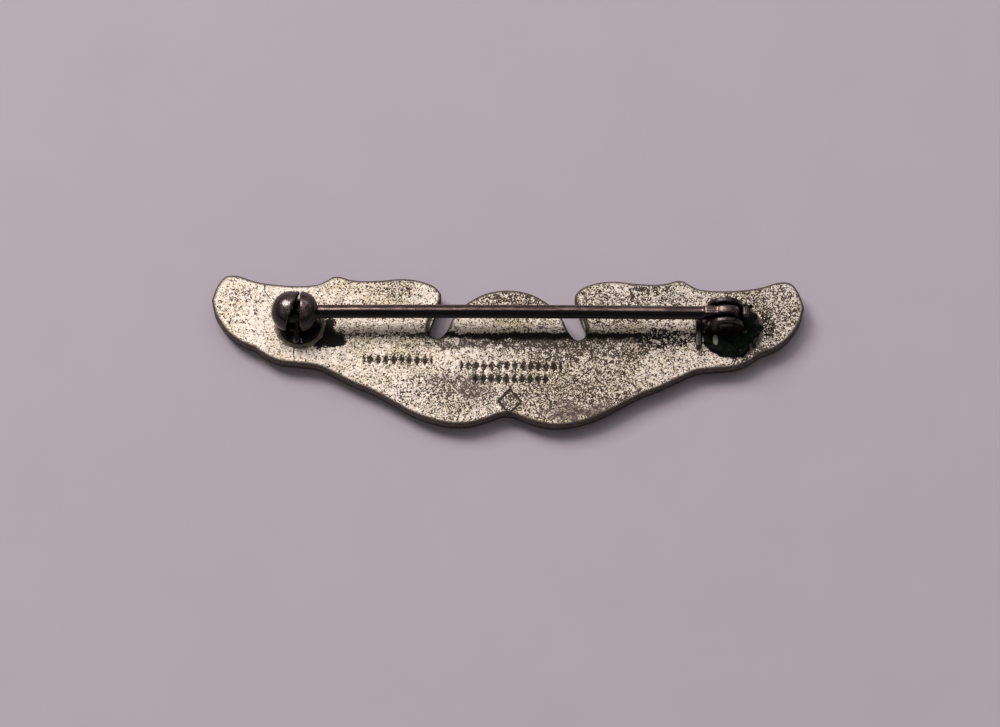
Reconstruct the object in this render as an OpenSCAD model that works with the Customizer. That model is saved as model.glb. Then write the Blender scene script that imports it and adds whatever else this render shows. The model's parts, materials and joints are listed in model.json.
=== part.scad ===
// Pilot wings pin, lying face down with its fastening side up.
// +X runs to the hinge of the pin, +Y to the top of the badge, +Z out of the back.
// The origin is under the middle of the badge, on the plane that its front rests on.

/* [Badge] */
// Wing tip to wing tip
wing_span = 50.8; // [44:0.2:62]
// Top of the wing tips to the lowest feathers
badge_height = 13.5; // [12:0.1:17]
// Thickness of the plate behind the front relief
plate_t = 1.2; // [0.8:0.1:2]
// Depth of the front relief below the plate
relief_h = 0.6; // [0.4:0.1:1.2]
// Radius of the plain disc in the middle of the front
roundel_r = 4.6; // [3.6:0.1:5]
// Width of the raised rim round the front disc
roundel_rim = 0.6; // [0.3:0.1:1]
// Depth of the sunk field inside that rim
roundel_sink = 0.25; // [0.1:0.05:0.35]
// Width of one raised feather
feather_w = 1.3; // [0.8:0.1:1.6]
// Gap between the feathers and the resting plane
feather_lift = 0.2; // [0.1:0.05:0.3]

/* [Pin line] */
// Distance of the hinge rivet from the right wing tip
joint_inset = 6.95; // [6:0.05:9]
// Distance of the catch from the left wing tip
catch_inset = 7.4; // [6:0.05:9]
// Height of the pin line above the middle of the badge, at the hinge
pin_line_y = 2.8; // [2.5:0.1:3.6]
// Slope of the pin line, down towards the catch
pin_skew = 0.55; // [0:0.05:2]
// Height of the pin's axis above the back
pin_h = 2.2; // [2.1:0.05:2.7]

/* [Pin stem] */
// Diameter of the pin wire
wire_d = 1.16; // [0.8:0.02:1.2]
// Length of the ground point
point_len = 3.2; // [2:0.1:5]
// Radius of the blunt end of the point
point_r = 0.09; // [0.05:0.01:0.15]
// How far the point reaches past the middle of the catch
point_reach = 1.1; // [0.8:0.05:1.3]
// Width of the flattened tongue, between the ears
tongue_w = 0.95; // [0.7:0.05:1.2]
// Radius of the eye round the rivet
eye_r = 1.2; // [1:0.05:1.3]
// Height of the flattened bar's top above the pin's axis
tongue_rise = 0.75; // [0.55:0.05:0.8]
// Length of the flattened bar, from the rivet towards the wire
tongue_len = 1.75; // [1.6:0.05:3]

/* [Hinge] */
// Height of the rivet's axis above the back
rivet_h = 2; // [1.8:0.05:2.2]
// Gap round the eye of the pin
eye_clear = 0.1; // [0.05:0.05:0.2]
// Diameter of the rivet
rivet_d = 0.8; // [0.6:0.05:1]
// Radial clearance of the rivet in the pin's eye
rivet_clear = 0.05; // [0.02:0.01:0.09]
// Radius of the rivet's heads
rivet_head_r = 0.62; // [0.55:0.01:0.8]
// Thickness of the rivet's heads
rivet_head_t = 0.16; // [0.1:0.02:0.3]
// Height of the ears above the back
ear_h = 3.1; // [2.9:0.1:3.3]
// Half width of the round ears
ear_r = 1.55; // [1.4:0.05:1.8]
// Thickness of each ear
ear_t = 0.45; // [0.3:0.05:0.6]
// Side clearance between the tongue and each ear
ear_clear = 0.2; // [0.05:0.01:0.25]
// Thickness of the hinge's floor
hinge_floor_t = 0.2; // [0.15:0.05:0.25]
// Height of the front stop bar above the back
stop_bar_h = 0.7; // [0.5:0.1:0.9]
// Thickness of the front stop bar
stop_bar_t = 0.5; // [0.3:0.05:0.7]
// How far the stop bar runs out past the near ear
stop_bar_out = 1.3; // [0.5:0.1:2]
// Gap between the tongue and the stops before and behind it
stop_clear = 0.2; // [0.1:0.05:0.3]
// Height of the rear stop above the back
rear_stop_h = 2.7; // [1.6:0.1:2.8]
// Thickness of the rear stop
rear_stop_t = 0.55; // [0.4:0.05:0.6]
// Radius of the hinge's round patch
joint_patch_r = 2.2; // [2:0.1:2.4]
// Gap between the stop bar and the solder of the patch
stop_bar_gap = 0.3; // [0.1:0.05:0.5]
// How far the patch sits below the pin line
joint_patch_down = 0.6; // [0:0.1:0.9]

/* [Catch] */
// Radius of the two round petals
petal_r = 1.75; // [1.6:0.05:1.9]
// Half the distance between the centres of the petals
petal_out = 0.35; // [0.25:0.05:0.4]
// Width of the gap between the petals at the catch's middle
gap_w = 0.56; // [0.5:0.02:0.7]
// Least width of the gap, at its back
gap_back_w = 0.15; // [0.1:0.05:0.3]
// Angle at which the left petal leans away from the right one
gap_lean = 20; // [8:1:22]
// Radius of the catch's round patch
catch_patch_r = 1.85; // [1.8:0.05:2.2]
// How far the catch's patch sits towards the hinge
catch_patch_in = 0.25; // [0:0.05:0.5]
// How far the catch's patch sits below the pin line
catch_patch_down = 0.35; // [0:0.05:0.5]
// Radius of the catch's neck
neck_r = 1.25; // [1.1:0.05:1.4]
// Radial clearance of the pin in the catch's bore
bore_clear = 0.13; // [0.08:0.01:0.2]
// Outer radius of the turning collar
collar_r = 1.02; // [0.95:0.01:1.05]
// Radial clearance of the pin inside the collar
collar_bore_clear = 0.08; // [0.05:0.01:0.1]
// Length of the collar along the pin
collar_len = 1.5; // [1.2:0.1:1.6]
// Running clearance round the collar
collar_clear = 0.05; // [0.03:0.01:0.09]
// Place of the lever along the pin, from the middle of the catch
lever_x = 0.15; // [0.05:0.05:0.25]
// Thickness of the lever
lever_t = 0.36; // [0.26:0.02:0.4]
// Width of the lever
lever_w = 1; // [0.8:0.05:1.1]
// Reach of the lever from the collar's axis
lever_reach = 2.6; // [2.3:0.1:2.8]
// Angle of the locked lever below the badge's plane
lever_dip = 20; // [10:1:22]
// Turn of the collar from locked to open
lever_turn = 90; // [80:1:90]

/* [Patches and solder] */
// Thickness of both round patches
patch_t = 0.3; // [0.2:0.05:0.35]
// Width of the solder fillet round each patch
solder_w = 0.35; // [0.2:0.05:0.5]
// Height of the solder fillet
solder_h = 0.22; // [0.1:0.02:0.3]

/* [Hidden] */
$fn = 48;

// Overlap of cutting shapes past the faces that they cut
eps = 0.05;
half_span = wing_span / 2;
half_height = badge_height / 2;
back_z = relief_h + plate_t;
joint_x = half_span - joint_inset;
pin_reach = (wing_span - joint_inset - catch_inset) / cos(pin_skew);
wire_r = wire_d / 2;
rivet_r = rivet_d / 2;
ear_in = tongue_w / 2 + ear_clear;
ear_out = ear_in + ear_t;
ear_round_z = ear_h - ear_r;
rear_stop_x = eye_r + stop_clear;
stop_bar_x = -tongue_len - stop_clear;
joint_patch_x = stop_bar_x + stop_bar_gap + solder_w + joint_patch_r;
bore_r = wire_r + bore_clear;
collar_bore_r = wire_r + collar_bore_clear;
lever_low = petal_r * sin(lever_dip) + lever_w / 2 * cos(lever_dip);
neck_top = -(max(collar_r, lever_low) + 2 * collar_clear);

// Right half of the outline, as shares of the half span and the half height. Each list is one
// smooth stretch; neighbouring stretches meet at a corner and share that point.
dome_edge = [[0, 0.84], [0.035, 0.83], [0.076, 0.79], [0.11, 0.725], [0.148, 0.62], [0.183, 0.455],
    [0.205, 0.27], [0.232, 0.165], [0.26, 0.21], [0.269, 0.33], [0.254, 0.48], [0.229, 0.66],
    [0.226, 0.78]];
inner_wing_edge = [[0.226, 0.78], [0.25, 0.88], [0.3, 0.955], [0.36, 0.98], [0.43, 0.955],
    [0.495, 0.945], [0.54, 0.965], [0.569, 1], [0.594, 0.998]];
outer_wing_edge = [[0.594, 0.998], [0.615, 0.945], [0.65, 0.885], [0.72, 0.865], [0.8, 0.885],
    [0.86, 0.925], [0.905, 0.985], [0.935, 1], [0.962, 0.97], [0.985, 0.84], [1, 0.65],
    [0.985, 0.44], [0.945, 0.215], [0.9, 0.08], [0.85, 0]];
lower_edge = [[0.85, 0], [0.805, -0.12], [0.755, -0.19], [0.69, -0.215], [0.63, -0.25],
    [0.575, -0.35], [0.515, -0.465], [0.45, -0.57], [0.385, -0.705], [0.325, -0.835],
    [0.265, -0.93], [0.2, -0.99], [0.135, -0.995], [0.07, -0.93], [0.025, -0.86], [0, -0.845]];
stretch_steps = 3;

// Point at t, from 0 to 1, on the smooth curve through b and c, with neighbours a and d
function smooth_point(a, b, c, d, t) =
    0.5 * (2 * b + (c - a) * t + (2 * a - 5 * b + 4 * c - d) * t * t
    + (3 * b - a - 3 * c + d) * t * t * t);

// Points along a smooth stretch, without its last point
function smooth_stretch(p) = [
    for (i = [0:len(p) - 2], k = [0:stretch_steps - 1])
        smooth_point(p[max(i - 1, 0)], p[i], p[i + 1], p[min(i + 2, len(p) - 1)], k / stretch_steps)
];

right_half = concat(smooth_stretch(dome_edge), smooth_stretch(inner_wing_edge),
    smooth_stretch(outer_wing_edge), smooth_stretch(lower_edge), [lower_edge[len(lower_edge) - 1]]);
left_half = [for (i = [len(right_half) - 2:-1:1]) [-right_half[i][0], right_half[i][1]]];

// Outline of the whole badge
module badge_outline() {
    polygon([for (p = concat(right_half, left_half)) [p[0] * half_span, p[1] * half_height]]);
}

// One feather: a bar with a round tip, from its root along its own +X
module feather_shape(length) {
    translate([0, -feather_w / 2])
        square([length - feather_w / 2, feather_w]);
    translate([length - feather_w / 2, 0])
        circle(d = feather_w);
}

// Raised feathers of the right wing: long ones along the lower edge, short ones above them
module feather_field() {
    for (i = [0:5])
        translate([half_span * (0.24 + 0.085 * i), half_height * (-0.42 + 0.14 * i)])
            rotate(-30 + 4 * i)
                feather_shape(half_span * (0.25 - 0.008 * i));
    for (i = [0:3])
        translate([half_span * (0.27 + 0.135 * i), half_height * (0.46 + 0.06 * i)])
            rotate(-22 + 4 * i)
                feather_shape(half_span * 0.19);
}

// Frame of the pin line: origin on the back under the rivet, -X towards the catch
module on_pin_line() {
    translate([joint_x, pin_line_y, back_z])
        rotate([0, 0, pin_skew])
            children();
}

// Frame of the catch: origin at the middle of the collar
module on_catch() {
    on_pin_line()
        translate([-pin_reach, 0, pin_h])
            children();
}

// Cylinder along X, from x0 over a length
module rod_x(r, x0, length) {
    translate([x0, 0, 0])
        rotate([0, 90, 0])
            cylinder(r = r, h = length);
}

// Cylinder along Y, centred on y = 0
module rod_y(r, length) {
    rotate([90, 0, 0])
        cylinder(r = r, h = length, center = true);
}

// Struck badge: a flat plate with its relief on the front
module wing_plate() {
    color([0.78, 0.75, 0.68]) {
        translate([0, 0, relief_h])
            linear_extrude(plate_t)
                badge_outline();
        translate([0, 0, feather_lift])
            linear_extrude(relief_h - feather_lift + eps)
                intersection() {
                    badge_outline();
                    union() {
                        feather_field();
                        mirror([1, 0])
                            feather_field();
                    }
                }
        difference() {
            cylinder(r = roundel_r, h = relief_h + eps);
            translate([0, 0, -eps])
                cylinder(r = roundel_r - roundel_rim, h = roundel_sink + eps);
        }
    }
}

// Round patch that carries the hinge
module joint_patch() {
    color([0.3, 0.34, 0.28])
        on_pin_line()
            translate([joint_patch_x, -joint_patch_down, 0])
                cylinder(r = joint_patch_r, h = patch_t);
}

// One ear of the hinge, with its half-round top, centred on y = 0
module ear() {
    intersection() {
        union() {
            translate([0, 0, ear_round_z])
                rod_y(ear_r, ear_t);
            translate([-ear_r, -ear_t / 2, 0])
                cube([2 * ear_r, ear_t, ear_round_z]);
        }
        translate([-ear_r, -ear_t / 2, patch_t])
            cube([2 * ear_r, ear_t, ear_h]);
    }
}

// Folded hinge: floor, two ears, front stop bar and rear stop
module joint_base() {
    color([0.24, 0.2, 0.18])
        on_pin_line()
            difference() {
                union() {
                    for (side = [-1, 1])
                        translate([0, side * (ear_in + ear_t / 2), 0])
                            ear();
                    translate([stop_bar_x - stop_bar_t, -ear_out, patch_t])
                        cube([rear_stop_x + rear_stop_t - stop_bar_x + stop_bar_t, 2 * ear_out,
                            hinge_floor_t]);
                    translate([rear_stop_x, -tongue_w / 2, patch_t])
                        cube([rear_stop_t, tongue_w, rear_stop_h - rear_stop_t / 2 - patch_t]);
                    translate([rear_stop_x + rear_stop_t / 2, 0, rear_stop_h - rear_stop_t / 2])
                        rod_y(rear_stop_t / 2, tongue_w);
                    translate([stop_bar_x - stop_bar_t, -ear_out - stop_bar_out, 0])
                        cube([stop_bar_t, 2 * ear_out + stop_bar_out, stop_bar_h]);
                }
                translate([0, 0, rivet_h])
                    rod_y(rivet_r, 4 * ear_out);
                translate([0, 0, rivet_h])
                    rod_y(eye_r + eye_clear, 2 * ear_in);
            }
}

// Rivet through both ears and the eye of the pin
module joint_rivet() {
    color([0.35, 0.28, 0.24])
        on_pin_line()
            translate([0, 0, rivet_h]) {
                rod_y(rivet_r, 2 * ear_out);
                for (side = [-1, 1])
                    translate([0, side * (ear_out + rivet_head_t / 2), 0])
                        rod_y(rivet_head_r, rivet_head_t);
            }
}

// Pin: round wire with a ground point and a flattened tongue and eye
module pin_stem() {
    tip_x = pin_reach + point_reach;
    tongue_low = pin_h - wire_r;
    wire_end = tip_x - tongue_len + eps;
    color([0.2, 0.15, 0.13])
        on_pin_line()
            difference() {
                union() {
                    translate([-tip_x, 0, pin_h])
                        rotate([0, 90, 0])
                            rotate_extrude()
                                polygon([[0, 0], [point_r, 0], [wire_r, point_len],
                                    [wire_r, wire_end], [0, wire_end]]);
                    translate([0, 0, rivet_h])
                        rod_y(eye_r, tongue_w);
                    translate([-tongue_len, -tongue_w / 2, tongue_low])
                        cube([tongue_len, tongue_w, wire_r + tongue_rise]);
                }
                translate([0, 0, rivet_h])
                    rod_y(rivet_r + rivet_clear, 2 * tongue_w);
            }
}

// Round patch that carries the catch
module catch_patch() {
    color([0.3, 0.3, 0.24])
        on_catch()
            translate([catch_patch_in, -catch_patch_down, -pin_h])
                cylinder(r = catch_patch_r, h = patch_t);
}

// Space between the two petals for the lever, wide at the lower side and narrow at the upper one
module petal_gap() {
    reach = 2 * petal_r;
    back_y = petal_r + eps;
    left_at_mid = lever_x - gap_w / 2;
    right_x = lever_x + gap_w / 2;
    left_slope = tan(gap_lean);
    translate([0, 0, neck_top])
        linear_extrude(reach)
            polygon([[left_at_mid - reach * left_slope, -reach], [right_x, -reach], [right_x, back_y],
                [min(left_at_mid + back_y * left_slope, right_x - gap_back_w), back_y]]);
}

// Two hollow petals on a neck, with the bore and its mouth
module catch_housing() {
    pocket_r = collar_r + collar_clear;
    pocket_len = collar_len + 2 * collar_clear;
    mouth_len = 2 * (petal_r + petal_out) + 2 * eps;
    color([0.22, 0.2, 0.2])
        on_catch()
            difference() {
                union() {
                    for (side = [-1, 1])
                        translate([side * petal_out, 0, 0])
                            sphere(r = petal_r);
                    translate([0, 0, patch_t - pin_h])
                        cylinder(r = neck_r, h = pin_h - patch_t);
                }
                petal_gap();
                rod_x(pocket_r, lever_x - pocket_len / 2, pocket_len);
                rod_x(bore_r, -point_reach - collar_len / 4, 2 * mouth_len);
                translate([-point_reach - collar_len / 4, 0, -bore_r])
                    cube([mouth_len, 2 * petal_r, 2 * bore_r]);
            }
}

// Turning collar with its slot, and the lever that turns it, locked
module catch_rotator() {
    color([0.12, 0.1, 0.1])
        on_catch()
            difference() {
                union() {
                    rod_x(collar_r, lever_x - collar_len / 2, collar_len);
                    rotate([lever_dip, 0, 0]) {
                        translate([lever_x - lever_t / 2, -lever_reach + lever_w / 2, -lever_w / 2])
                            cube([lever_t, lever_reach - lever_w / 2, lever_w]);
                        translate([0, -lever_reach + lever_w / 2, 0])
                            rod_x(lever_w / 2, lever_x - lever_t / 2, lever_t);
                    }
                }
                rod_x(collar_bore_r, -collar_len, 3 * collar_len);
                rotate([lever_turn, 0, 0])
                    translate([-collar_len, 0, -collar_bore_r])
                        cube([3 * collar_len, 2 * collar_r, 2 * collar_bore_r]);
            }
}

// Ring of solder round a patch
module solder_ring(r) {
    rotate_extrude()
        polygon([[r, 0], [r + solder_w, 0], [r + solder_w * 0.3, solder_h * 0.4], [r, solder_h]]);
}

// Solder round the hinge's patch
module joint_solder() {
    color([0.55, 0.55, 0.5])
        on_pin_line()
            translate([joint_patch_x, -joint_patch_down, 0])
                solder_ring(joint_patch_r);
}

// Solder round the catch's patch
module catch_solder() {
    color([0.5, 0.49, 0.38])
        on_catch()
            translate([catch_patch_in, -catch_patch_down, -pin_h])
                solder_ring(catch_patch_r);
}

wing_plate();
joint_patch();
joint_base();
joint_rivet();
pin_stem();
catch_patch();
catch_housing();
catch_rotator();
joint_solder();
catch_solder();
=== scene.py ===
"""Pilot wings pin, seen by its back: the worn silver striking, its hinge, pin and ball catch."""
import json
import math

import bmesh
import bpy
import numpy as np
from bpy.props import FloatProperty, FloatVectorProperty, IntProperty
from mathutils import Matrix, Vector


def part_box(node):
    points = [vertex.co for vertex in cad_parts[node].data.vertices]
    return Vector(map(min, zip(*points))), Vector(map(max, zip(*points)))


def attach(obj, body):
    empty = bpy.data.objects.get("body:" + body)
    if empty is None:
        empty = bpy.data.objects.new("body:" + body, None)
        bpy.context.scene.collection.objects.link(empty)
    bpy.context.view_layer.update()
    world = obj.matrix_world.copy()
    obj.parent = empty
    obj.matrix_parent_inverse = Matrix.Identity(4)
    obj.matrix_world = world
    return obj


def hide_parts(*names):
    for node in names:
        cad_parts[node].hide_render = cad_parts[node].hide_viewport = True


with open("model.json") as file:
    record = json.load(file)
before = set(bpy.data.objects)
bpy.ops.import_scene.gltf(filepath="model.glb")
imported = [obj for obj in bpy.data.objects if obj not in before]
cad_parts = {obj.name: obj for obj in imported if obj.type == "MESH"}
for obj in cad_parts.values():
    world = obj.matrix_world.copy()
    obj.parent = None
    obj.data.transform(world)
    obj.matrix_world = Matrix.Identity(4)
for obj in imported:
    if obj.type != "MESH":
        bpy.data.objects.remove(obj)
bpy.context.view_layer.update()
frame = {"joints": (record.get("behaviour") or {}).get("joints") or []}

bl_info = {
    "name": "Pilot Wings Pin",
    "version": (1, 0, 0),
    "blender": (4, 5, 0),
    "location": "View3D > Sidebar > Wings Pin",
    "description": "Builds the back of a pilot's wings pin with its hinge, pin and safety catch",
    "category": "Object",
}

MM = 0.001


def box_mm(node):
    """Lowest and highest corner of a CAD node, in millimetres."""
    low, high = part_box(node)
    return np.array(low) / MM, np.array(high) / MM


# ---------------- places taken from the frame

JOINTS = {joint["name"]: joint for joint in frame["joints"]}
PLATE_LOW, PLATE_HIGH = box_mm("wing_plate")
HALF_SPAN = (PLATE_HIGH[0] - PLATE_LOW[0]) / 2
HALF_HEIGHT = (PLATE_HIGH[1] - PLATE_LOW[1]) / 2
BACK_Z = PLATE_HIGH[2]
RIVET = np.array(JOINTS["stem_lift"]["pos_m"]) / MM
COLLAR = np.array(JOINTS["collar_turn"]["pos_m"]) / MM
PIN_X = -np.array(JOINTS["collar_turn"]["axis"], float)
PIN_Y = np.array(JOINTS["stem_lift"]["axis"], float)
PIN_AXES = np.array([PIN_X, PIN_Y, (0.0, 0.0, 1.0)])
HINGE = np.array([RIVET[0], RIVET[1], BACK_Z])
PIN_H = COLLAR[2] - BACK_Z
RIVET_H = RIVET[2] - BACK_Z
REACH = float((HINGE - COLLAR) @ PIN_X)
PATCH_T = np.subtract(*box_mm("catch_patch")[::-1])[2]


def from_hinge(local):
    """Points in the pin line's frame, with its origin on the back under the rivet, in millimetres."""
    return HINGE + np.asarray(local, float) @ PIN_AXES


def from_catch(local):
    """Points in the catch's frame, with its origin in the middle of the collar, in millimetres."""
    return COLLAR + np.asarray(local, float) @ PIN_AXES


# ---------------- settings

def count_property(name, description, value):
    """A whole number setting with its default."""
    return IntProperty(name=name, description=description, default=value)


def number_property(name, description, value, **more):
    """A number setting with its default."""
    return FloatProperty(name=name, description=description, default=value, **more)


def angle_property(name, description, degrees):
    """An angle setting with its default in degrees."""
    return number_property(name, description, math.radians(degrees), subtype="ANGLE")


def colour_property(name, description, value):
    """A colour setting with its default."""
    return FloatVectorProperty(name=name, description=description, default=value, subtype="COLOR",
                               size=3, min=0, max=1)


class PlateSettings(bpy.types.PropertyGroup):
    """Sizes of the struck plate, in millimetres"""
    stations: count_property("Stations", "Sections from one wing tip to the other", 640)
    back_rows: count_property("Back rows", "Rows of faces across the back", 100)
    front_rows: count_property("Front rows", "Rows of faces across the front", 38)
    wall_rows: count_property("Wall rows", "Rows of faces down the edge", 4)
    edge_round: number_property("Edge rounding", "Radius of the worn back edge", 0.26)
    front_round: number_property("Front rounding", "Radius of the front edge", 0.14)
    mark_depth: number_property("Mark depth", "Depth of the blank stamped marks", 0.05)
    wave: number_property("Wave", "Unevenness of the struck back", 0.022)


class PinSettings(bpy.types.PropertyGroup):
    """Sizes of the pin, in millimetres"""
    wire_r: number_property("Wire radius", "Radius of the pin wire", 0.58)
    point_len: number_property("Point", "Length of the ground point", 3.2)
    point_r: number_property("Point radius", "Radius of the point's end", 0.09)
    point_reach: number_property("Point reach", "Point past the collar's middle", 1.1)
    tongue_w: number_property("Tongue width", "Width between the ears", 0.95)
    tongue_len: number_property("Tongue length", "From rivet to wire", 1.75)
    tongue_rise: number_property("Tongue rise", "Top of the tongue above the wire's axis", 0.75)
    eye_r: number_property("Eye radius", "Radius of the eye round the rivet", 1.2)
    bow: number_property("Bow", "How far the old wire has bent in its middle", 0.07)


class HingeSettings(bpy.types.PropertyGroup):
    """Sizes of the folded hinge, in millimetres"""
    ear_r: number_property("Ear radius", "Half width of the ears", 1.55)
    ear_h: number_property("Ear height", "Top of the ears above the back", 3.1)
    ear_t: number_property("Ear thickness", "Thickness of the sheet ears", 0.45)
    ear_in: number_property("Ear inside", "Inner face of an ear from the middle", 0.675)
    floor_t: number_property("Floor", "Thickness of the floor", 0.2)
    bar_x: number_property("Bar place", "Inner face of the stop bar from the rivet", -1.95)
    bar_t: number_property("Bar thickness", "Thickness of the stop bar", 0.5)
    bar_h: number_property("Bar height", "Height of the stop bar", 0.7)
    bar_out: number_property("Bar reach", "Bar past the near ear", 1.3)
    stop_x: number_property("Stop place", "Face of the rear stop from the rivet", 1.4)
    stop_t: number_property("Stop thickness", "Thickness of the rear stop", 0.55)
    stop_h: number_property("Stop height", "Height of the rear stop", 2.7)
    head_r: number_property("Rivet head", "Radius of the rivet's heads", 0.62)
    head_t: number_property("Head thickness", "Thickness of the rivet's heads", 0.16)


class CatchSettings(bpy.types.PropertyGroup):
    """Sizes of the ball catch, in millimetres"""
    petal_r: number_property("Petal radius", "Radius of the round petals", 1.75)
    petal_out: number_property("Petal offset", "Half the petals' spacing", 0.35)
    gap_w: number_property("Gap", "Width of the gap at the middle", 0.5)
    gap_lean: angle_property("Lean", "Lean of the left petal", 20)
    neck_r: number_property("Neck radius", "Radius of the neck", 1.25)
    bore_r: number_property("Bore radius", "Bore and mouth of the petals", 0.71)
    collar_r: number_property("Collar radius", "Outside of the collar", 1.02)
    collar_bore: number_property("Collar bore", "Inside of the collar", 0.66)
    collar_len: number_property("Collar length", "Length of the collar", 1.5)
    lever_x: number_property("Lever place", "Lever from the catch's middle", 0.15)
    lever_t: number_property("Lever thickness", "Thickness of the lever", 0.36)
    lever_w: number_property("Lever width", "Width of the lever", 1.0)
    lever_reach: number_property("Lever reach", "End of the lever from the axis", 2.6)
    lever_dip: angle_property("Lever dip", "Locked lever below level", 20)
    lever_turn: angle_property("Slot angle", "Slot from the mouth when locked", 90)


class FinishSettings(bpy.types.PropertyGroup):
    """Colours of the finishes, linear"""
    silver: colour_property("Silver", "Clean struck silver", (0.84, 0.70, 0.60))
    silver_warm: colour_property("Warm silver", "Silver with a yellow film", (0.62, 0.49, 0.33))
    # Painted highlight: colour of the pale specks painted into the silver as sparkles of light.
    glint_highlight: colour_property("Glint", "Brightest grains of silver", (0.95, 0.88, 0.80))
    grime: colour_property("Grime", "Dark grains in the silver", (0.042, 0.021, 0.012))
    stain: colour_property("Stain", "Purple-brown stains", (0.15, 0.095, 0.09))
    rim: colour_property("Rim", "Brown film on the worn edge", (0.085, 0.062, 0.050))
    pin_brown: colour_property("Pin brown", "Tarnish on the pin wire", (0.34, 0.22, 0.19))
    dark_metal: colour_property("Dark metal", "Tarnish on the catch and the hinge", (0.13, 0.092, 0.083))
    solder: colour_property("Solder", "Dull solder", (0.34, 0.31, 0.21))
    green: colour_property("Green", "Copper corrosion", (0.004, 0.016, 0.005))
    pale: colour_property("Pale crust", "Dry pale corrosion", (0.42, 0.38, 0.27))
    floor: colour_property("Floor", "Plain pale floor", (0.66, 0.56, 0.63))


class StageSettings(bpy.types.PropertyGroup):
    """Camera and lights"""
    lens: number_property("Lens", "Focal length in mm for a 36 mm sensor", 107.0)
    distance: number_property("Distance", "Camera to badge", 0.2525, unit="LENGTH")
    elevation: angle_property("Elevation", "Camera above the horizon", 68)
    roll: angle_property("Roll", "Turn of the picture", 0.7)
    key: number_property("Key light", "Power of the key light", 3.4)
    strip: number_property("Strip light", "Power of the tall softbox", 0.6)
    fill: number_property("Fill light", "Power of the wide fill light", 1.4)
    room: number_property("Room", "Strength of the room's even light", 0.14)


SETTINGS = {
    "wings_plate": PlateSettings,
    "wings_pin": PinSettings,
    "wings_hinge": HingeSettings,
    "wings_catch": CatchSettings,
    "wings_finish": FinishSettings,
    "wings_stage": StageSettings,
}


# ---------------- shader maths

class Value:
    """A socket with a number in it; arithmetic on it adds Math nodes."""

    def __init__(self, graph, socket):
        self.graph = graph
        self.socket = socket

    def _math(self, operation, *operands, clamp=False):
        return self.graph.node("ShaderNodeMath", {"operation": operation, "use_clamp": clamp},
                               dict(enumerate(operands)))

    def __add__(self, other):
        return self._math("ADD", self, other)

    __radd__ = __add__

    def __sub__(self, other):
        return self._math("SUBTRACT", self, other)

    def __rsub__(self, other):
        return self._math("SUBTRACT", other, self)

    def __mul__(self, other):
        return self._math("MULTIPLY", self, other)

    def __truediv__(self, other):
        return self._math("DIVIDE", self, other)

    def root(self):
        """Square root."""
        return self._math("SQRT", self)

    def clamp(self):
        """Kept from 0 to 1."""
        return self._math("ADD", self, 0.0, clamp=True)

    def over(self, low, high):
        """0 below low, 1 above high, and smooth between them."""
        return self.graph.node("ShaderNodeMapRange", {"interpolation_type": "SMOOTHSTEP"},
                               {"Value": self, "From Min": low, "From Max": high})


class Graph:
    """The nodes of one material."""

    def __init__(self, name):
        self.material = bpy.data.materials.new(name)
        self.material.use_nodes = True
        self.tree = self.material.node_tree
        self.shader = self.tree.nodes["Principled BSDF"]

    def node(self, kind, settings=None, inputs=None, output=0):
        """Adds a node: its settings first, then the values or links of its sockets."""
        made = self.tree.nodes.new(kind)
        for key, setting in (settings or {}).items():
            setattr(made, key, setting)
        self.feed(made, inputs or {})
        return Value(self, made.outputs[output])

    def feed(self, made, inputs):
        """Sets or links a node's sockets by name or number."""
        for key, given in inputs.items():
            socket = made.inputs[key]
            if isinstance(given, Value):
                self.tree.links.new(given.socket, socket)
            else:
                socket.default_value = given

    def place(self):
        """Position on the object, in metres."""
        return self.node("ShaderNodeTexCoord", output=3)

    def attribute(self, name):
        """A number stored on the mesh's points."""
        return self.node("ShaderNodeAttribute", {"attribute_name": name}, output=2)

    def noise(self, per_mm, detail=2.0, roughness=0.5, stretch=None):
        """Cloud noise with that many features to the millimetre, from 0 to 1."""
        place = self.place()
        if stretch:
            place = self.node("ShaderNodeVectorMath", {"operation": "MULTIPLY"}, {0: place, 1: stretch})
        return self.node("ShaderNodeTexNoise", {}, {
            "Vector": place, "Scale": per_mm / MM, "Detail": detail, "Roughness": roughness})

    def mix(self, amount, first, second):
        """From the first colour to the second."""
        return self.node("ShaderNodeMix", {"data_type": "RGBA"}, {
            0: amount, 6: self.colour(first), 7: self.colour(second)}, output=2)

    @staticmethod
    def colour(given):
        """A colour with its alpha, or a link as it is."""
        return given if isinstance(given, Value) else (*given, 1.0)

    def finish(self, base, roughness, height=None, bump_mm=0.0, strength=1.0, metallic=None, **constants):
        """Connects the shader; height times bump_mm is the relief in millimetres."""
        inputs = {"Base Color": base, "Roughness": roughness}
        if metallic is not None:
            inputs["Metallic"] = metallic
        if height is not None:
            inputs["Normal"] = self.node("ShaderNodeBump", {}, {
                "Strength": strength, "Distance": bump_mm * MM, "Height": height})
        inputs.update({key.replace("_", " "): given for key, given in constants.items()})
        self.feed(self.shader, inputs)
        return self.material


def dim(colour, share):
    """That share of a colour."""
    return [c * share for c in colour]


def scratch(g, start, end, width=0.05):
    """1 on a fine line from start to end, in millimetres across the back, and 0 away from it: the
    distance to the line is measured from the nearest of its points."""
    split = g.node("ShaderNodeSeparateXYZ", {}, {"Vector": g.place()}).socket.node
    x, y = (Value(g, split.outputs[k]) / MM - start[k] for k in (0, 1))
    step_x, step_y = end[0] - start[0], end[1] - start[1]
    share = ((x * step_x + y * step_y) / (step_x ** 2 + step_y ** 2)).clamp()
    gap_x, gap_y = x - share * step_x, y - share * step_y
    return 1 - (gap_x * gap_x + gap_y * gap_y).root().over(width * 0.4, width)


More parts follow.
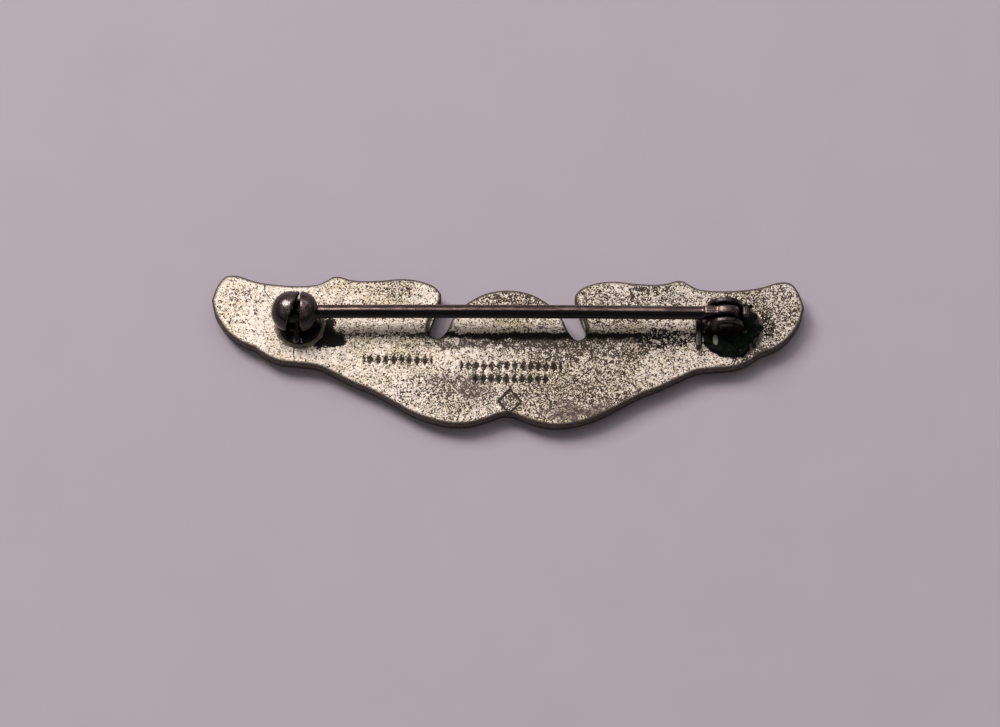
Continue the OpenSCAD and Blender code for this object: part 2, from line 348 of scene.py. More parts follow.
def struck_silver():
    """Old silver: a cream face full of fine dark grains, denser in stains, marks and along the edge."""
    tint = bpy.context.scene.wings_finish
    g = Graph("struck_silver")
    edge = g.attribute("edge")
    mark = g.attribute("mark")
    tarnish_and_shade = g.attribute("tarnish_and_shade")
    stain = g.attribute("stain")
    worms = g.attribute("worms")
    fine = g.noise(8.0, detail=1.6, roughness=0.6)
    coarse = g.noise(2.3, detail=3.0, roughness=0.6)
    hue = g.noise(4.5, detail=1.5)
    broad = g.noise(0.3, detail=2.0)
    lines = sum((scratch(g, *ends) for ends in SCRATCHES), 0.0)
    curl = 1 - ((coarse - 0.5) * (coarse - 0.5)).over(0.0008, 0.005)
    density = tarnish_and_shade + mark * 0.75 + (broad - 0.5) * 0.4 + lines * 1.3 + curl * worms * 2.2
    grains = ((fine - 0.5) * 3.5 + (coarse - 0.5) * 1.7 + density).over(0.34, 0.62) * (1 - stain * 0.55)
    face = g.mix((hue + (broad - 0.5) * 0.8).over(0.42, 0.62), tint.silver, tint.silver_warm)
    # Painted highlight: scattered specks painted pale as sparkles of light.
    face = g.mix((0.5 - fine).over(0.05, 0.2), face, tint.glint_highlight)
    face = g.mix((stain * (coarse * 1.2 + 0.5)).clamp(), face, tint.stain)
    film = 1 - (edge + (coarse - 0.5) * 0.22).over(0.1, 0.36)
    face = g.mix((film * 0.96 + mark * 0.6).clamp(), face, tint.rim)
    base = g.mix(grains * (0.96 - film * 0.35), face, tint.grime)
    # Near black where the stains and painted shadows are densest, plus painted shade on the wall, darker
    # towards its lower side.
    black = (density.over(0.8, 1.5) + (edge * -1).over(0.15, 0.8)).clamp()
    base = g.mix(black, base, dim(tint.grime, 0.15))
    rough = grains * 0.3 + film * 0.12 + 0.42
    height = fine * -0.5 + grains * -0.5 + coarse * 0.3
    return g.finish(base, rough, height, bump_mm=0.018, strength=0.6,
                    metallic=(0.45 - grains * 0.35 - film * 0.3).clamp(), Specular_IOR_Level=0.3)


def dark_metal(name, tint, gloss=0.2, streak=None, worn=False):
    """Dark polished tarnish: nearly black, with paler rubbed patches and fine flecks. On a worn piece
    the rubbed metal shows only where the attribute of that name says so."""
    g = Graph(name)
    cloud = g.noise(0.9, detail=4.0, roughness=0.6, stretch=streak)
    fleck = g.noise(8.0, detail=2.0, roughness=0.6, stretch=streak)
    rubbed = (cloud * 0.7 + fleck * 0.35).over(0.48, 0.72)
    deep = dim(tint, 0.2)
    base = g.mix(rubbed, g.mix(fleck.over(0.35, 0.7), deep, dim(tint, 0.5)), tint)
    # Painted highlight and shade: full colour where the worn attribute marks the lit side, near black
    # elsewhere.
    if worn:
        base = g.mix(g.attribute("worn"), dim(tint, 0.06), base)
    rough = gloss + fleck * 0.16 - rubbed * 0.05
    return g.finish(base, rough, fleck + cloud * 0.5, bump_mm=0.006, strength=0.5, metallic=0.9,
                    Coat_Weight=0.35, Coat_Roughness=0.12)


def solder_finish():
    """Dull grey-green solder with dark pores."""
    tint = bpy.context.scene.wings_finish
    g = Graph("solder")
    cloud = g.noise(1.6, detail=3.0)
    pore = g.noise(6.0, detail=2.0)
    base = g.mix(pore.over(0.5, 0.72), g.mix(cloud, tint.solder, tint.stain), tint.grime)
    return g.finish(base, 0.38 + pore * 0.3, pore, bump_mm=0.02, metallic=0.6)


def crust_finish():
    """Green corrosion: nearly black in its depth, paler and drier on its edges and grains."""
    tint = bpy.context.scene.wings_finish
    g = Graph("green_crust")
    pale = g.attribute("pale")
    cloud = g.noise(1.4, detail=4.0, roughness=0.6)
    grit = g.noise(6.5, detail=2.0, roughness=0.7)
    deep = g.mix((cloud + pale).over(0.45, 0.8), dim(tint.green, 0.2), tint.green)
    base = g.mix((pale + (grit - 0.5) * 0.7).over(0.3, 0.85), deep, tint.pale)
    return g.finish(base, 0.5 + grit * 0.35, grit + cloud, bump_mm=0.05, Specular_IOR_Level=0.15)


def floor_finish():
    """Plain pale floor with the slightest mottle."""
    tint = bpy.context.scene.wings_finish
    g = Graph("pale_floor")
    mottle = g.noise(0.12, detail=3.0)
    base = g.mix(mottle, tint.floor, dim(tint.floor, 0.94))
    return g.finish(base, 0.9)


# ---------------- surfaces

def grid_faces(rows, columns, wrap_rows=False, wrap_columns=False):
    """Quads of a grid whose point (i, j) has number i * columns + j."""
    i = np.arange(rows if wrap_rows else rows - 1)[:, None]
    j = np.arange(columns if wrap_columns else columns - 1)[None, :]
    down, right = (i + 1) % rows, (j + 1) % columns
    corners = [i * columns + j, i * columns + right, down * columns + right, down * columns + j]
    return np.stack(np.broadcast_arrays(*corners), axis=-1).reshape(-1, 4)


def new_object(name, data):
    """An object with that data, in the scene."""
    made = bpy.data.objects.new(name, data)
    bpy.context.scene.collection.objects.link(made)
    return made


def make_piece(name, points, faces, material, body, nodes=(), attributes=None):
    """Puts points, in millimetres, and faces into a mesh, closes it, turns it outwards and rides it
    on a body."""
    mesh = bpy.data.meshes.new(name)
    mesh.from_pydata((np.asarray(points).reshape(-1, 3) * MM).tolist(), [], np.asarray(faces).tolist())
    for key, numbers in (attributes or {}).items():
        layer = mesh.attributes.new(key, "FLOAT", "POINT")
        layer.data.foreach_set("value", np.asarray(numbers, np.float32).ravel())
    merged = bmesh.new()
    merged.from_mesh(mesh)
    bmesh.ops.remove_doubles(merged, verts=merged.verts, dist=2e-7)
    bmesh.ops.dissolve_degenerate(merged, edges=merged.edges, dist=1e-8)
    bmesh.ops.recalc_face_normals(merged, faces=merged.faces)
    if merged.calc_volume(signed=True) < 0:
        bmesh.ops.reverse_faces(merged, faces=merged.faces)
    merged.to_mesh(mesh)
    merged.free()
    mesh.shade_smooth()
    mesh.materials.append(material)
    piece = new_object(name, mesh)
    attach(piece, body)
    if nodes:
        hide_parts(*nodes)


def curve_through(points, steps):
    """Smooth curve through the points: on each stretch a cubic whose end slopes are half the chord
    between the neighbours."""
    p = np.asarray(points, float)
    a, b, c, d = (p[np.clip(np.arange(len(p) - 1) + k, 0, len(p) - 1)][:, None, :] for k in (-1, 0, 1, 2))
    t = np.linspace(0, 1, steps, endpoint=False)[None, :, None]
    curve = 0.5 * (2 * b + (c - a) * t + (2 * a - 5 * b + 4 * c - d) * t ** 2
                   + (3 * b - a - 3 * c + d) * t ** 3)
    return np.vstack([curve.reshape(-1, p.shape[1]), p[-1:]])


def length_along(path):
    """Distance from the start of the path to each of its points."""
    return np.concatenate([[0], np.cumsum(np.linalg.norm(np.diff(path, axis=0), axis=1))])


def point_at(path, distance):
    """Points of the path at those distances from its start."""
    along = length_along(path)
    return np.stack([np.interp(distance, along, path[:, k]) for k in range(path.shape[1])], axis=-1)


def ripple(points, wavelength, seed, waves=9):
    """Sum of plane waves in random directions, from about -1 to 1."""
    rng = np.random.default_rng(seed)
    points = np.asarray(points, float)
    direction = rng.normal(size=(waves, points.shape[-1]))
    direction /= np.linalg.norm(direction, axis=1, keepdims=True)
    pitch = wavelength * rng.uniform(0.6, 1.6, waves)
    phase = rng.uniform(0, 2 * np.pi, waves)
    total = sum(np.sin(2 * np.pi * (points @ direction[k]) / pitch[k] + phase[k]) for k in range(waves))
    return total / math.sqrt(waves)


def smooth_step(x, low, high):
    """0 below low, 1 above high, and smooth between them."""
    t = np.clip((x - low) / (high - low), 0, 1)
    return t * t * (3 - 2 * t)


# Solids as fields: a field is below 0 inside its solid and gives the distance to its surface.
ROOM = 0.15  # space left round a solid when its skin is made, in millimetres

def ball(p, centre, radius):
    """Distance to the centre less the radius."""
    return np.linalg.norm(p - np.asarray(centre, float), axis=-1) - radius


def block(p, low, high, rounding=0.0):
    """Distance to a box with rounded edges."""
    low, high = np.asarray(low, float), np.asarray(high, float)
    q = np.abs(p - (low + high) / 2) - (high - low) / 2 + rounding
    return np.linalg.norm(np.maximum(q, 0), axis=-1) + np.minimum(q.max(axis=-1), 0) - rounding


def rod(p, axis, centre, radius, low, high, rounding=0.0):
    """Distance to a cylinder along the axis, from low to high, with rounded ends."""
    others = [k for k in range(3) if k != axis]
    across = np.hypot(*(p[..., k] - centre[k] for k in others)) - radius + rounding
    along = np.abs(p[..., axis] - (low + high) / 2) - (high - low) / 2 + rounding
    outside = np.hypot(np.maximum(across, 0), np.maximum(along, 0))
    return outside + np.minimum(np.maximum(across, along), 0) - rounding


def join(a, b, blend):
    """Both solids, with a fillet of about that size where they meet."""
    h = np.clip(0.5 + 0.5 * (b - a) / blend, 0, 1)
    return b + (a - b) * h - blend * h * (1 - h)


def cut(a, b, blend):
    """The first solid without the second, with its new edges rounded."""
    return -join(-a, b, blend)


def skin(field, low, high, step):
    """Closed skin of a field's solid: one point in each cell that the surface crosses, at the mean of
    its edge crossings, and one quad round each crossed edge; then each point slides down the field's
    slope onto the surface."""
    axes = [np.arange(a, b + step, step) for a, b in zip(low, high)]
    grid = np.stack(np.meshgrid(*axes, indexing="ij"), axis=-1)
    f = field(grid)
    cells = np.array(f.shape) - 1
    total, count = np.zeros((*cells, 3)), np.zeros(cells)
    quads = []
    number = np.arange(cells.prod()).reshape(cells)
    for axis in range(3):
        one, two = [k for k in range(3) if k != axis]
        before, after = [slice(None)] * 3, [slice(None)] * 3
        before[axis], after[axis] = slice(None, -1), slice(1, None)
        first, second = f[tuple(before)], f[tuple(after)]
        crossed = (first < 0) != (second < 0)
        share = np.where(crossed, first / np.where(crossed, first - second, 1), 0)
        place = grid[tuple(before)].copy()
        place[..., axis] += share * step
        for d_one in (0, 1):
            for d_two in (0, 1):
                pick = [slice(None)] * 3
                pick[one] = slice(d_one, d_one + cells[one])
                pick[two] = slice(d_two, d_two + cells[two])
                pick = tuple(pick)
                total += place[pick] * crossed[pick][..., None]
                count += crossed[pick]
        inner = [slice(None)] * 3
        inner[one], inner[two] = slice(1, cells[one]), slice(1, cells[two])
        hit = np.argwhere(crossed[tuple(inner)])
        hit[:, one] += 1
        hit[:, two] += 1
        ring = []
        for back_one, back_two in ((1, 1), (0, 1), (0, 0), (1, 0)):
            at = hit.copy()
            at[:, one] -= back_one
            at[:, two] -= back_two
            ring.append(number[tuple(at.T)])
        ring = np.stack(ring, axis=-1)
        flip = (first[tuple(hit.T)] < 0) != (axis == 1)
        quads.append(np.where(flip[:, None], ring, ring[:, ::-1]))
    used = count > 0
    points = total[used] / count[used][:, None]
    renumber = np.cumsum(used.ravel()) - 1
    faces = renumber[np.vstack(quads)]
    for _ in range(3):
        here = field(points)
        nudge = step * 0.05
        slope = np.stack([(field(points + nudge * e) - field(points - nudge * e)) / (2 * nudge)
                          for e in np.eye(3)], axis=-1)
        size = np.maximum((slope ** 2).sum(axis=-1, keepdims=True), 0.2)
        points = points - np.clip(here[:, None] * slope / size, -step / 2, step / 2)
    return points, faces


def turned(profile, segments=96):
    """Surface of a profile of (radius, height) points turned once round the Z axis."""
    profile = np.asarray(profile, float)
    angle = np.linspace(0, 2 * np.pi, segments, endpoint=False)[:, None]
    points = np.stack([profile[None, :, 0] * np.cos(angle), profile[None, :, 0] * np.sin(angle),
                       np.broadcast_to(profile[None, :, 1], (segments, len(profile)))], axis=-1)
    return points, grid_faces(segments, len(profile), wrap_rows=True)


# ---------------- the struck plate

# Right half of the outline, as shares of the half span and the half height. Each list is one smooth
# stretch. They follow one another from the middle along the top to the wing tip, and from there along
# the lower side back to the middle.
DOME_EDGE = [(0, 0.84), (0.035, 0.83), (0.076, 0.79), (0.11, 0.725), (0.148, 0.62), (0.183, 0.455),
             (0.205, 0.27), (0.232, 0.165), (0.26, 0.21), (0.269, 0.33), (0.254, 0.48), (0.229, 0.66),
             (0.226, 0.78)]
INNER_WING_EDGE = [(0.226, 0.78), (0.25, 0.88), (0.3, 0.955), (0.36, 0.98), (0.43, 0.955),
                   (0.495, 0.945), (0.54, 0.965), (0.569, 1), (0.594, 0.998)]
OUTER_WING_EDGE = [(0.594, 0.998), (0.615, 0.945), (0.65, 0.885), (0.72, 0.865), (0.8, 0.885),
                   (0.86, 0.925), (0.905, 0.985), (0.935, 1), (0.962, 0.97), (0.985, 0.84), (1, 0.65)]
TIP_EDGE = [(1, 0.65), (0.985, 0.44), (0.945, 0.215), (0.9, 0.08), (0.85, 0)]
LOWER_EDGE = [(0.85, 0), (0.805, -0.12), (0.755, -0.19), (0.69, -0.215), (0.63, -0.25), (0.575, -0.35),
              (0.515, -0.465), (0.45, -0.57), (0.385, -0.705), (0.325, -0.835), (0.265, -0.93),
              (0.2, -0.99), (0.135, -0.995), (0.07, -0.93), (0.025, -0.86), (0, -0.845)]
EDGE_STEPS = 16  # points on each stretch between two points of a list
OUTLINE_SHARE = 0.9995  # keeps the skin just inside the CAD plate
# Points of the top edge and the share of the half span at which the section through each of them
# meets the lower edge.
SECTIONS = [((0, 0.84), 0), ((0.148, 0.62), 0.13), ((0.205, 0.27), 0.19), ((0.232, 0.165), 0.235),
            ((0.269, 0.33), 0.285), ((0.229, 0.66), 0.36), ((0.226, 0.78), 0.42), ((0.3, 0.955), 0.46),
            ((0.43, 0.955), 0.53), ((0.594, 0.998), 0.64), ((0.72, 0.865), 0.74), ((0.86, 0.925), 0.85),
            ((0.935, 1), 0.92), ((0.985, 0.84), 0.975), ((1, 0.65), 1)]
# Tarnish and painted shadows on the back: centre and radii in millimetres, darkness, and share of purple
STAINS_AND_SHADOWS = [
    # Painted shadow with stains: the first two ovals lie where the catch's shadow falls beside it; the
    # third lies behind the catch, seen through its gap, and is stain with painted shade.
    ((-15.85, 1.65), (1.35, 1.35), 2.0, 0.0),
    ((-14.6, 0.75), (0.8, 0.35), 1.2, 0.0),
    ((-17.85, 4.35), (0.4, 0.55), 1.6, 0.0),
    ((0.0, 5.0), (4.6, 1.5), 0.3, 0.15),
    ((5.5, 0.4), (7.5, 1.4), 0.3, 0.2),
    ((0.5, 0.6), (6.5, 0.7), 0.3, 0.3),
    ((-4.6, 0.6), (2.6, 0.6), 0.45, 0.6),
    ((-3.6, -4.0), (4.2, 2.6), 0.22, 0.25),
    ((-2.9, -3.3), (1.6, 1.2), 0.2, 1.8),
    ((-5.5, -2.6), (1.3, 0.9), 0.14, 1.8),
    ((6.0, -4.2), (6.5, 2.4), 0.2, 0.3),
    ((7.6, -5.5), (4.4, 0.75), 0.1, 7.0),
    ((12.0, 4.6), (7.0, 1.6), 0.22, 0.0),
    ((21.2, 2.8), (3.4, 3.0), 0.16, 0.1),
    ((20.6, 0.2), (1.6, 0.6), 0.4, 0.2),
    ((11.8, 6.0), (1.4, 0.5), 0.3, 0.1),
    ((-9.6, 5.7), (2.0, 1.0), 0.2, 0.1),
    ((-23.0, 4.8), (0.9, 0.6), 0.22, 0.2),
    ((-8.0, -3.6), (3.0, 1.4), 0.14, 0.1),
]
# Worm-like black spots: centre and radii of each patch of them, in millimetres
WORMS = [((13.4, 1.35), (2.7, 0.85)), ((21.9, 2.6), (0.85, 1.0))]
# Fine scratches: the two ends of each, in millimetres
SCRATCHES = [((-20.95, 5.85), (-20.85, 5.2)), ((-20.85, 5.2), (-20.35, 4.55)),
             ((-18.2, 0.0), (-18.1, -1.2)),
             ((6.7, 3.05), (7.2, 2.6)), ((7.2, 2.6), (7.9, 2.75)), ((7.9, 2.75), (8.4, 2.45)),
             ((8.4, 2.45), (9.0, 2.5)), ((9.0, 2.5), (9.1, 2.95)), ((5.6, -2.9), (7.4, -1.3))]


def edge_paths():
    """The top and the lower edge of the right half, in millimetres, each from the middle to the tip."""
    size = np.array([HALF_SPAN, HALF_HEIGHT]) * OUTLINE_SHARE

    def chain(*parts):
        curves = [curve_through(part, EDGE_STEPS) for part in parts]
        return np.vstack([curve[:-1] for curve in curves[:-1]] + curves[-1:]) * size

    return chain(DOME_EDGE, INNER_WING_EDGE, OUTER_WING_EDGE), chain(TIP_EDGE, LOWER_EDGE)[::-1]


def section_ends(stations):
    """Where each section meets the top and the lower edge, from the left tip to the right one."""
    top, low = edge_paths()
    size = np.array([HALF_SPAN, HALF_HEIGHT])
    along_top, along_low = length_along(top), length_along(low)
    keys = np.array([key for key, _ in SECTIONS]) * size
    top_keys = along_top[np.argmin(np.linalg.norm(top[None] - keys[:, None], axis=-1), axis=1)]
    low_x = [share * HALF_SPAN * OUTLINE_SHARE for _, share in SECTIONS]
    low_keys = np.interp(low_x, low[:, 0], along_low)
    low_keys[-1] = along_low[-1]
    walk = np.linspace(0, along_top[-1], stations // 2 + 1)
    right_top = point_at(top, walk)
    right_low = point_at(low, np.interp(walk, top_keys, low_keys))
    flip = np.array([-1, 1])
    return (np.vstack([right_top[:0:-1] * flip, right_top]),
            np.vstack([right_low[:0:-1] * flip, right_low]))


def distance_to(points, loop):
    """Distance from each point to the nearest stretch of a closed outline."""
    start, step = loop, np.roll(loop, -1, axis=0) - loop
    length2 = np.maximum((step ** 2).sum(axis=1), 1e-12)
    nearest = np.empty(len(points))
    for part in np.array_split(np.arange(len(points)), max(1, len(points) // 3000)):
        offset = points[part][:, None] - start[None]
        t = np.clip((offset * step).sum(axis=-1) / length2, 0, 1)
        nearest[part] = np.sqrt(((offset - t[..., None] * step) ** 2).sum(axis=-1).min(axis=1))
    return nearest


def quarter_round(distance, radius):
    """How far a rounded edge has dropped at that distance inside it."""
    inside = np.clip(radius - distance, 0, radius)
    return radius - np.sqrt(np.maximum(radius ** 2 - inside ** 2, 0))


# The front relief, in millimetres
RELIEF_H = 0.6
BOSS_R = 4.6
BOSS_FIELD_R = 4.0
FEATHER_PITCH = 1.5
SCALE_ROW = 0.9
SCALE_PITCH = 1.1


def feathers(xy):
    """Height of the front relief, from 0 to 1: long feathers that curve out from the middle along the
    wing, small overlapping ones above them, and a plain round boss with a rim in the middle."""
    x, y = np.abs(xy[..., 0]), xy[..., 1]
    flow = y + 0.42 * (x - 5) - 0.009 * (x - 5) ** 2
    middle = 1.2 + 0.14 * x
    barbs = 0.72 + 0.1 * np.sin(8 * np.pi * (flow / FEATHER_PITCH + x / 4))
    long = np.sqrt(np.abs(np.sin(np.pi * flow / FEATHER_PITCH))) * barbs
    row = np.floor(y / SCALE_ROW)
    shift = (x + SCALE_PITCH / 2 * (row % 2)) / SCALE_PITCH
    scale = 1 - np.hypot((shift - np.floor(shift)) - 0.5, (y / SCALE_ROW - row) * 0.7)
    small = 0.35 + 0.6 * np.clip(scale, 0, 1)
    wing = long + (small - long) * smooth_step(y, middle - 0.15, middle + 0.15)
    wing = wing * 0.66
    radius = np.hypot(xy[..., 0], xy[..., 1])
    rim = smooth_step(radius, BOSS_FIELD_R - 0.1, BOSS_FIELD_R + 0.1)
    boss = 0.6 + 0.4 * rim + 0.12 * (1 - (radius / 4.2) ** 2)
    boss = np.where(radius > BOSS_R, 0, np.clip(boss, 0, 1))
    moat = smooth_step(radius, BOSS_R, 5.3)
    return np.where(radius < BOSS_R, boss, wing * moat)


def bar_mark(xy, centre, length, height, pitch):
    """Depth of a blank stamped bar, from 0 to 1: a row of small lozenges of equal size."""
    x, y = xy[..., 0] - centre[0], xy[..., 1] - centre[1]
    inside = (np.abs(x) < length / 2) & (np.abs(y) < height)
    cell = (x / pitch - np.floor(x / pitch)) - 0.5
    lozenge = np.abs(cell) * pitch / 0.3 + np.abs(y) / (height / 2)
    return np.where(inside, smooth_step(1.15 - lozenge, 0, 0.4), 0)


def blank_marks(xy):
    """Depth of the three blank bars and the plain lozenge that are stamped into the back."""
    bars = [((-9.3, -0.95), 5.9, 1.0), ((0.35, -1.4), 8.6, 1.0), ((0.3, -2.55), 6.6, 0.95)]
    depth = sum(bar_mark(xy, *bar, pitch=0.66) for bar in bars)
    away = np.abs(xy[..., 0] - 0.25) / 1.05 + np.abs(xy[..., 1] + 4.6) / 1.2
    groove = smooth_step(0.16 - np.abs(away - 0.92), 0, 0.12)
    return np.clip(depth + groove + 0.2 * (away < 0.85), 0, 1)


def stain_and_shade_maps(xy):
    """Darkness, purple and worm-like spots at each point: soft ovals with rippled edges, the grime
    that gathered along the pin's shelter, and a slow rise from the left wing to the right one."""
    warp = np.stack([ripple(xy, 1.6, 11), ripple(xy, 1.6, 12)], axis=-1) * 0.35
    dark = 0.1 + 0.08 * smooth_step(xy[..., 0], -19, -10) + 0.14 * smooth_step(xy[..., 0], -8, 9)
    dark = dark + 0.1 * smooth_step(xy[..., 0], 18, 23)
    purple = np.zeros(xy.shape[:-1])
    for centre, radii, amount, share in STAINS_AND_SHADOWS:
        away = np.linalg.norm((xy + warp - centre) / radii, axis=-1)
        soft = 1 - smooth_step(away, 0.4, 1.4)
        dark = dark + amount * soft
        purple = purple + amount * share * soft
    # Painted shadow of the pin, with grime: a dark band just below the pin's line, sharp at its top and
    # fading below.
    line_y = HINGE[1] - 1.0 + (xy[..., 0] - HINGE[0]) * PIN_X[1] + 0.07 * ripple(xy, 1.2, 13)
    below = line_y - xy[..., 1]
    thick = 0.12 + 0.16 * np.exp(-((xy[..., 0] - 1) / 5.5) ** 2) + 0.07 * ripple(xy, 0.45, 14)
    pin_shadow_band = smooth_step(below, -0.08, 0.06) * (1 - smooth_step(below, thick, thick + 0.5))
    span = smooth_step(xy[..., 0], -16.5, -15) * (1 - smooth_step(xy[..., 0], 10.5, 12.5))
    thin = 0.42 + 0.58 * smooth_step(xy[..., 0], -9, -5)
    worms = sum(1 - smooth_step(np.linalg.norm((xy + warp * 0.5 - centre) / radii, axis=-1), 0.7, 1.1)
                for centre, radii in WORMS)
    return np.clip(dark + 1.4 * pin_shadow_band * span * thin, -0.1, 1.8), np.clip(purple, 0, 1), worms


def build_plate():
    """The struck plate: at each station a closed section that crosses the back from the lower edge to
    the top edge, rounds over, runs down the wall and comes back across the front."""
    s = bpy.context.scene.wings_plate
    top, low = section_ends(s.stations)
    loop = np.vstack([low, top[-2:0:-1]])

    def across(rows, edge_share):
        t = np.linspace(0, 1, rows)
        return t + (0.5 - 0.5 * np.cos(np.pi * t) - t) * edge_share

    def sheet(t):
        return low[:, None] + (top - low)[:, None] * t[None, :, None]

    back_xy = sheet(across(s.back_rows, 0.8))
    front_xy = sheet(across(s.front_rows, 0.6))[:, ::-1]
    back_d = distance_to(back_xy.reshape(-1, 2), loop).reshape(back_xy.shape[:2])
    front_d = distance_to(front_xy.reshape(-1, 2), loop).reshape(front_xy.shape[:2])
    mark = blank_marks(back_xy)
    wave = (ripple(back_xy, 5.0, 5) + 0.5 * ripple(back_xy, 1.7, 6)) * s.wave
    inner = smooth_step(back_d, 0.1, 0.9)
    dents = ripple(back_xy, 0.55, 7) * 0.006
    highest = 0.01
    uneven = (np.minimum(wave, highest) - highest + dents) * inner
    back_z = BACK_Z - quarter_round(back_d, s.edge_round) + uneven - mark * s.mark_depth
    relief = feathers(front_xy) * smooth_step(front_d, 0.05, 0.55)
    lip_z = PLATE_LOW[2] + (1 - relief) * RELIEF_H
    front_z = lip_z + quarter_round(front_d, s.front_round)
    t = np.linspace(0, 1, s.wall_rows + 2)[1:-1][None, :]

    def wall(xy, start, end):
        z = start[:, None] + (end - start)[:, None] * t
        return np.concatenate([np.broadcast_to(xy[:, None], (*z.shape, 2)), z[..., None]], axis=-1)

    back = np.concatenate([back_xy, back_z[..., None]], axis=-1)
    front = np.concatenate([front_xy, front_z[..., None]], axis=-1)
    sections = np.concatenate([back, wall(top, back_z[:, -1], front_z[:, 0]), front,
                               wall(low, front_z[:, -1], back_z[:, 0])], axis=1)
    stations, rows = sections.shape[:2]
    dark, purple, worms = stain_and_shade_maps(sections[..., :2])
    on_back = np.zeros(rows, bool)
    on_back[:s.back_rows] = True
    edge = np.zeros((stations, rows))
    edge[:, :s.back_rows] = back_d
    edge[:, s.back_rows + s.wall_rows:][:, :s.front_rows] = front_d
    # On the walls the edge number falls below 0 towards the front face; the silver paints the wall darker
    # there as shade and gives it the full brown edge film.
    edge[:, s.back_rows:s.back_rows + s.wall_rows] = -t
    edge[:, -s.wall_rows:] = t - 1
    marks = np.zeros((stations, rows))
    marks[:, :s.back_rows] = mark
    # The darkness map holds the stains and the painted shadows of the pin and the catch.
    attributes = {"edge": edge, "mark": marks, "tarnish_and_shade": np.where(on_back, dark, 0.3), "stain": purple,
                  "worms": np.where(on_back, worms, 0)}
    faces = grid_faces(stations, rows, wrap_columns=True)
    make_piece("struck_wings", sections, faces, struck_silver(), "badge", ["wing_plate"],
                      attributes)


# ---------------- the pin

def build_pin():
    """The pin: superellipse sections carried along its line, round in the wire, growing from the point,
    squared in the tongue, and closing round the eye."""
    s = bpy.context.scene.wings_pin
    tip = -(REACH + s.point_reach)
    wire_end = -s.tongue_len - 0.7
    x = np.concatenate([tip + s.point_len * np.linspace(0, 1, 24) ** 1.4,
                        np.linspace(tip + s.point_len, wire_end, 90)[1:],
                        np.linspace(wire_end, -s.eye_r, 30)[1:],
                        s.eye_r * np.sin(np.linspace(-np.pi / 2, np.pi / 2, 48))[1:]])
    grow = np.clip((x - tip) / s.point_len, 0, 1)
    wire = s.point_r + (s.wire_r - s.point_r) * np.sin(grow * np.pi / 2)
    flat = smooth_step(x, -s.tongue_len - 0.28, -s.tongue_len + 0.1)
    reach = np.sqrt(np.maximum(s.eye_r ** 2 - x ** 2, 0))
    eye_top, eye_low = RIVET_H + reach, RIVET_H - reach
    bar_top, bar_low = PIN_H + s.tongue_rise, PIN_H - s.wire_r
    top = np.where(x < 0, np.maximum(bar_top, eye_top), eye_top)
    bottom = np.where(x < -s.eye_r, bar_low, np.where(x < 0, np.minimum(bar_low, eye_low), eye_low))
    top = (PIN_H + wire) * (1 - flat) + top * flat
    bottom = (PIN_H - wire) * (1 - flat) + bottom * flat
    half_w = wire * (1 - flat) + s.tongue_w / 2 * flat
    squareness = 3.2
    power = 2 / (2 + squareness * flat)
    middle = -s.bow * np.sin(np.pi * np.clip((x - tip) / (-s.tongue_len - tip), 0, 1))
    angle = np.linspace(0, 2 * np.pi, 40, endpoint=False)
    cos, sin = np.cos(angle)[None], np.sin(angle)[None]
    centre, half_h = (top + bottom) / 2, (top - bottom) / 2
    y = half_w[:, None] * np.sign(cos) * np.abs(cos) ** power[:, None] - middle[:, None]
    z = centre[:, None] + half_h[:, None] * np.sign(sin) * np.abs(sin) ** power[:, None]
    ring = np.stack([np.broadcast_to(x[:, None], y.shape), y, z], axis=-1)
    ends = [np.broadcast_to(ring[k].mean(axis=0), (1, *ring.shape[1:])) for k in (0, -1)]
    ring = np.concatenate([ends[0], ring, ends[1]])
    faces = grid_faces(*ring.shape[:2], wrap_columns=True)
    along_wire = (0.2, 1.0, 1.0)
    metal = dark_metal("pin_wire", bpy.context.scene.wings_finish.pin_brown, 0.2, along_wire, True)
    # Painted highlight and shade: only a band on the pin's upper side, where the highlight falls, keeps
    # the pin's colour; the rest is painted near black.
    highlight_angle = math.radians(72)
    lit_band = smooth_step(np.cos(angle - highlight_angle), 0.78, 0.97)
    worn = np.broadcast_to(lit_band, (len(x) + 2, angle.size))
    make_piece("pin", from_hinge(ring), faces, metal, "pin", ["pin_stem"], {"worn": worn})


# ---------------- the hinge

def hinge_field(p):
    """The folded hinge: two ears with half-round tops, a floor, a front stop bar and a rear stop."""
    s = bpy.context.scene.wings_hinge
    round_z = s.ear_h - s.ear_r
    solid = block(p, (s.bar_x - s.bar_t, -s.ear_in - s.ear_t, PATCH_T),
                  (s.stop_x + s.stop_t, s.ear_in + s.ear_t, PATCH_T + s.floor_t), 0.06)
    bar = block(p, (s.bar_x - s.bar_t, -s.ear_in - s.ear_t - s.bar_out, 0),
                (s.bar_x, s.ear_in + s.ear_t, s.bar_h), 0.1)
    solid = join(solid, bar, 0.1)
    low, high = s.ear_in, s.ear_in + s.ear_t
    mirrored = np.stack([p[..., 0], np.abs(p[..., 1]), p[..., 2]], axis=-1)
    disc = rod(mirrored, 1, (0, 0, round_z), s.ear_r, low, high, 0.13)
    foot = block(mirrored, (-s.ear_r, low, PATCH_T), (s.ear_r, high, round_z), 0.06)
    solid = join(solid, np.minimum(disc, foot), 0.15)
    eye_room_r = 1.3
    solid = np.maximum(solid, -rod(p, 1, (0, 0, RIVET_H), eye_room_r, -low, low))
    half = bpy.context.scene.wings_pin.tongue_w / 2
    stop = block(p, (s.stop_x, -half, PATCH_T), (s.stop_x + s.stop_t, half, s.stop_h), 0.2)
    solid = join(solid, stop, 0.12)
    return np.maximum(solid, -(p[..., 2] - np.where(p[..., 0] < s.bar_x + 0.01, 0, PATCH_T)))


